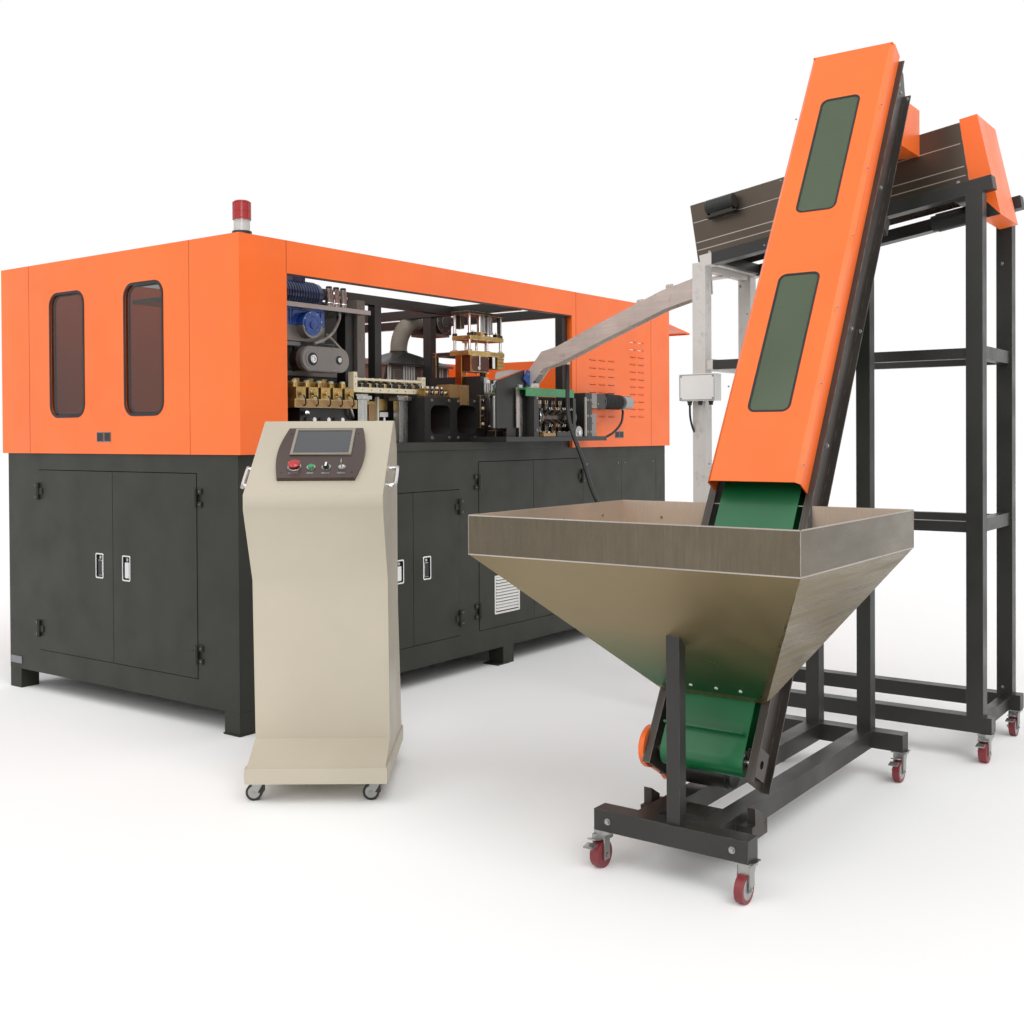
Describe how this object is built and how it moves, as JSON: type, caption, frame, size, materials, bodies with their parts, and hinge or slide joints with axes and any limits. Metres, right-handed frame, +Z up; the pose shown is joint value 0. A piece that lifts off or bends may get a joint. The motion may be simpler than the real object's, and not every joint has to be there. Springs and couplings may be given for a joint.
{
  "type": "blow moulding machine",
  "caption": "Linear stretch blow moulding machine in an enclosed cabinet with doors, operator console, inclined elevator with hopper, roller sorter on a tower and a feed chute.",
  "frame": {"origin": "outer bottom corner of the front left foot of the cabinet, on the floor", "axes": "+X along the long side of the cabinet from the end with the windows, +Y from the feeder side to the back, +Z up"},
  "size_m": [4.5582, 4.359, 2.6488],
  "materials": {
    "orange_paint": "satin",
    "dark_paint": "satin",
    "black_paint": "satin",
    "beige_paint": "satin",
    "white_paint": "satin",
    "blue_paint": "gloss",
    "green_paint": "satin",
    "frame_paint": "satin",
    "channel_steel": "satin",
    "stainless": "brushed",
    "plated_steel": "satin",
    "bright_steel": "satin",
    "chrome": "polished",
    "cast": "matte",
    "aluminium": "satin",
    "cream_plastic": "satin",
    "tinted_pane": "gloss",
    "green_pane": "gloss",
    "belt_green": "satin",
    "red_plastic": "gloss",
    "green_plastic": "gloss",
    "black_plastic": "matte",
    "dark_bezel": "satin",
    "quartz": "gloss",
    "cord_rubber": "matte",
    "wheel_rubber": "satin",
    "zinc": "satin"
  },
  "bodies": {
    "machine": {"base_frame": "dark_paint", "base_shell": "dark_paint", "bed_plate": "dark_paint", "enclosure": "orange_paint", "end_windows": "tinted_pane", "beacon_lamp": "red_plastic", "inner_frame": "black_paint", "oven": "black_paint", "exhaust_duct": "aluminium", "heater_lamps": "quartz", "main_gearbox": "blue_paint", "belt_cover": "aluminium", "valve_manifold": "plated_steel", "clamp_housing": "cast", "stretch_frame": "plated_steel", "loader_frame": "black_paint", "loader_guard": "green_paint", "servo_motor": "black_paint", "servo_cable": "cord_rubber", "air_receiver": "blue_paint", "console_body": "beige_paint", "console_fascia": "dark_bezel", "elevator_frame": "channel_steel", "hopper": "stainless", "elevator_cover": "orange_paint", "cover_windows": "green_pane", "elevator_belt": "belt_green", "elevator_drive": "orange_paint", "discharge_hood": "orange_paint", "tower_frame": "frame_paint", "sorter_trough": "stainless", "sorter_end_cover": "orange_paint", "control_box": "white_paint", "chute": "stainless", "chute_hose": "cord_rubber"},
    "end_door_left": {"end_door_left": "dark_paint"},
    "end_door_right": {"end_door_right": "dark_paint"},
    "side_door_1_left": {"side_door_1_left": "dark_paint"},
    "side_door_1_right": {"side_door_1_right": "dark_paint"},
    "side_door_2_left": {"side_door_2_left": "dark_paint"},
    "side_door_2_right": {"side_door_2_right": "dark_paint"},
    "flap": {"outfeed_flap": "orange_paint"},
    "platen_left": {"platen_left": "bright_steel"},
    "platen_right": {"platen_right": "bright_steel"},
    "stretch_carriage": {"stretch_carriage": "plated_steel"},
    "transfer_bar": {"transfer_bar": "cream_plastic"},
    "loader_drum": {"loader_drum": "bright_steel"},
    "console_door": {"console_door": "beige_paint"},
    "emergency_stop": {"emergency_stop": "red_plastic"},
    "start_button": {"start_button": "green_plastic"},
    "selector_switch": {"selector_switch": "black_plastic"},
    "key_switch": {"key_switch": "chrome"},
    "head_roller": {"head_roller": "bright_steel"},
    "tail_roller": {"tail_roller": "bright_steel"},
    "sorter_roller_front": {"sorter_roller_front": "bright_steel"},
    "sorter_roller_back": {"sorter_roller_back": "bright_steel"},
    "stand_fork": {"stand_fork": "zinc"},
    "stand_wheel": {"stand_wheel": "wheel_rubber"},
    "tower_fork": {"tower_fork": "zinc"},
    "tower_wheel": {"tower_wheel": "wheel_rubber"}
  },
  "joints": [
    {"name": "end_door_left_hinge", "type": "hinge", "parent": "machine", "child": "end_door_left", "pos_m": [-0.01, 1.4345, 0.6], "axis": [0, 0, 1], "range_deg": [-95, 0]},
    {"name": "end_door_right_hinge", "type": "hinge", "parent": "machine", "child": "end_door_right", "pos_m": [-0.01, 0.2595, 0.6], "axis": [0, 0, 1], "range_deg": [0, 95]},
    {"name": "side_door_1_left_hinge", "type": "hinge", "parent": "machine", "child": "side_door_1_left", "pos_m": [0.717, -0.01, 0.6], "axis": [0, 0, 1], "range_deg": [-95, 0]},
    {"name": "side_door_1_right_hinge", "type": "hinge", "parent": "machine", "child": "side_door_1_right", "pos_m": [1.431, -0.01, 0.6], "axis": [0, 0, 1], "range_deg": [0, 95]},
    {"name": "side_door_2_left_hinge", "type": "hinge", "parent": "machine", "child": "side_door_2_left", "pos_m": [1.591, -0.01, 0.6], "axis": [0, 0, 1], "range_deg": [-95, 0]},
    {"name": "side_door_2_right_hinge", "type": "hinge", "parent": "machine", "child": "side_door_2_right", "pos_m": [2.58, -0.01, 0.6], "axis": [0, 0, 1], "range_deg": [0, 95]},
    {"name": "flap_hinge", "type": "hinge", "parent": "machine", "child": "flap", "pos_m": [3.626, 0.35, 1.958], "axis": [0, 1, 0], "range_deg": [0, 78]},
    {"name": "clamp_close", "type": "slide", "parent": "machine", "child": "platen_left", "axis": [1, 0, 0], "range_m": [0, 0.0297]},
    {"name": "clamp_close_right", "type": "slide", "parent": "machine", "child": "platen_right", "axis": [1, 0, 0], "range_m": [-0.0297, 0]},
    {"name": "stretch_down", "type": "slide", "parent": "machine", "child": "stretch_carriage", "axis": [0, 0, -1], "range_m": [0, 0.045]},
    {"name": "transfer_step", "type": "slide", "parent": "machine", "child": "transfer_bar", "axis": [1, 0, 0], "range_m": [0, 0.076]},
    {"name": "loader_spin", "type": "hinge", "parent": "machine", "child": "loader_drum", "pos_m": [2.1, -0.1, 1.32], "axis": [1, 0, 0], "continuous": true},
    {"name": "console_door_hinge", "type": "hinge", "parent": "machine", "child": "console_door", "pos_m": [0.05361, -0.76993, 0.89], "axis": [0, 0, 1], "range_deg": [-110, 0]},
    {"name": "emergency_stop_push", "type": "slide", "parent": "machine", "child": "emergency_stop", "axis": [0.4627, 0.3378, -0.8197], "range_m": [0, 0.005]},
    {"name": "start_push", "type": "slide", "parent": "machine", "child": "start_button", "axis": [0.4627, 0.3378, -0.8197], "range_m": [0, 0.003], "stiffness_N_per_m": 600, "springref_m": -0.002},
    {"name": "selector_turn", "type": "hinge", "parent": "machine", "child": "selector_switch", "pos_m": [-0.35156, -0.86018, 1.11794], "axis": [-0.4627, -0.3378, 0.8197], "range_deg": [-45, 45]},
    {"name": "key_turn", "type": "hinge", "parent": "machine", "child": "key_switch", "pos_m": [-0.32031, -0.90299, 1.11794], "axis": [-0.4627, -0.3378, 0.8197], "range_deg": [-90, 0]},
    {"name": "head_roller_spin", "type": "hinge", "parent": "machine", "child": "head_roller", "pos_m": [1.16822, -2.15, 2.51447], "axis": [0, 1, 0], "continuous": true},
    {"name": "tail_roller_spin", "type": "hinge", "parent": "machine", "child": "tail_roller", "pos_m": [-0.11178, -2.15, 0.29745], "axis": [0, 1, 0], "continuous": true},
    {"name": "sorter_front_spin", "type": "hinge", "parent": "machine", "child": "sorter_roller_front", "pos_m": [1.557, -1.89165, 2.16262], "axis": [0, 0.9882, -0.153], "continuous": true},
    {"name": "sorter_back_spin", "type": "hinge", "parent": "machine", "child": "sorter_roller_back", "pos_m": [1.643, -1.89165, 2.16262], "axis": [0, 0.9882, -0.153], "continuous": true},
    {"name": "stand_swivel", "type": "hinge", "parent": "machine", "child": "stand_fork", "pos_m": [-0.319, -1.931, 0.1], "axis": [0, 0, 1], "continuous": true},
    {"name": "stand_wheel_spin", "type": "hinge", "parent": "stand_fork", "child": "stand_wheel", "pos_m": [-0.339, -1.931, 0.038], "axis": [0, 1, 0], "continuous": true},
    {"name": "tower_swivel", "type": "hinge", "parent": "machine", "child": "tower_fork", "pos_m": [1.374, -2.554, 0.1], "axis": [0, 0, 1], "continuous": true},
    {"name": "tower_wheel_spin", "type": "hinge", "parent": "tower_fork", "child": "tower_wheel", "pos_m": [1.354, -2.554, 0.038], "axis": [0, 1, 0], "continuous": true}
  ],
  "couplings": [
    {"joint": "clamp_close_right", "follows": "clamp_close", "ratio": -1},
    {"joint": "tail_roller_spin", "follows": "head_roller_spin", "ratio": 1},
    {"joint": "sorter_back_spin", "follows": "sorter_front_spin", "ratio": -1}
  ]
}
